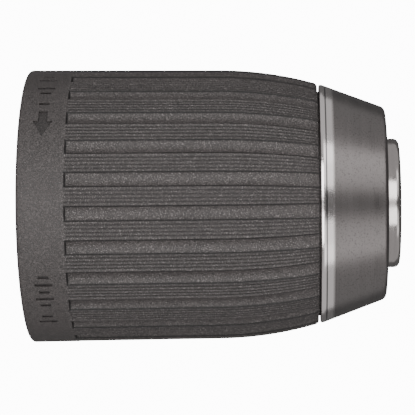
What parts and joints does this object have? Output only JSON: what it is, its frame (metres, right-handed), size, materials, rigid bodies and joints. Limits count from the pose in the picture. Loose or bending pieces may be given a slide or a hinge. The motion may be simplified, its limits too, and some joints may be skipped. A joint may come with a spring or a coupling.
{
  "type": "keyless drill chuck",
  "caption": "Keyless drill chuck with a fluted grip sleeve, a steel nose collar, inclined jaws driven by a split nut, and a ratchet lock.",
  "frame": {"origin": "centre of the body's tail face, on the chuck axis", "axes": "+Z along the chuck axis from the tail to the nose; +Y towards jaw_1"},
  "size_m": [0.043, 0.043, 0.0582],
  "materials": {
    "body_steel": "satin",
    "collar_steel": "satin",
    "jaw_steel": "satin",
    "nut_steel": "satin",
    "bearing_steel": "polished",
    "ball_steel": "polished",
    "spring_steel": "satin",
    "cage_polymer": "matte",
    "sleeve_polymer": "matte",
    "cover_steel": "satin"
  },
  "bodies": {
    "chuck": {"chuck_body": "body_steel", "thrust_ring": "bearing_steel", "inner_race": "bearing_steel", "front_collar": "collar_steel", "rear_cover": "cover_steel"},
    "nut": {"nut_half_1": "nut_steel", "nut_half_2": "nut_steel", "nut_ring": "nut_steel", "outer_race": "bearing_steel"},
    "pawl": {"lock_pawl": "spring_steel"},
    "sleeve": {"grip_sleeve": "sleeve_polymer", "drive_insert": "nut_steel"},
    "cage": {"ball_cage": "cage_polymer", "ball_1": "ball_steel", "ball_2": "ball_steel", "ball_3": "ball_steel", "ball_4": "ball_steel", "ball_5": "ball_steel", "ball_6": "ball_steel", "ball_7": "ball_steel", "ball_8": "ball_steel", "ball_9": "ball_steel", "ball_10": "ball_steel", "ball_11": "ball_steel", "ball_12": "ball_steel", "ball_13": "ball_steel", "ball_14": "ball_steel", "ball_15": "ball_steel", "ball_16": "ball_steel", "ball_17": "ball_steel", "ball_18": "ball_steel", "ball_19": "ball_steel", "ball_20": "ball_steel"},
    "jaw_1": {"jaw_1": "jaw_steel"},
    "jaw_2": {"jaw_2": "jaw_steel"},
    "jaw_3": {"jaw_3": "jaw_steel"}
  },
  "joints": [
    {"name": "nut_turn", "type": "hinge", "parent": "chuck", "child": "nut", "pos_m": [0, 0, 0.0435], "axis": [0, 0, -1], "range_deg": [0, 4704]},
    {"name": "lock_turn", "type": "hinge", "parent": "nut", "child": "sleeve", "pos_m": [0, 0, 0.0435], "axis": [0, 0, -1], "range_deg": [0, 25]},
    {"name": "pawl_swing", "type": "hinge", "parent": "nut", "child": "pawl", "pos_m": [0.01844, -0.00064, 0.0377], "axis": [0, 0, 1], "range_deg": [0, 2.83]},
    {"name": "cage_turn", "type": "hinge", "parent": "chuck", "child": "cage", "pos_m": [0, 0, 0.0382], "axis": [0, 0, -1], "range_deg": [0, 2353]},
    {"name": "jaw_1_slide", "type": "slide", "parent": "chuck", "child": "jaw_1", "axis": [0, -0.2924, 0.9563], "range_m": [0, 0.0206]},
    {"name": "jaw_2_slide", "type": "slide", "parent": "chuck", "child": "jaw_2", "axis": [0.2532, 0.1462, 0.9563], "range_m": [0, 0.0206]},
    {"name": "jaw_3_slide", "type": "slide", "parent": "chuck", "child": "jaw_3", "axis": [-0.2532, 0.1462, 0.9563], "range_m": [0, 0.0206]}
  ],
  "couplings": [
    {"joint": "jaw_1_slide", "follows": "nut_turn", "m_per_rad": 0.00024964},
    {"joint": "jaw_2_slide", "follows": "nut_turn", "m_per_rad": 0.00024964},
    {"joint": "jaw_3_slide", "follows": "nut_turn", "m_per_rad": 0.00024964},
    {"joint": "cage_turn", "follows": "nut_turn", "ratio": 0.5},
    {"joint": "pawl_swing", "follows": "lock_turn", "ratio": 0.11264}
  ]
}
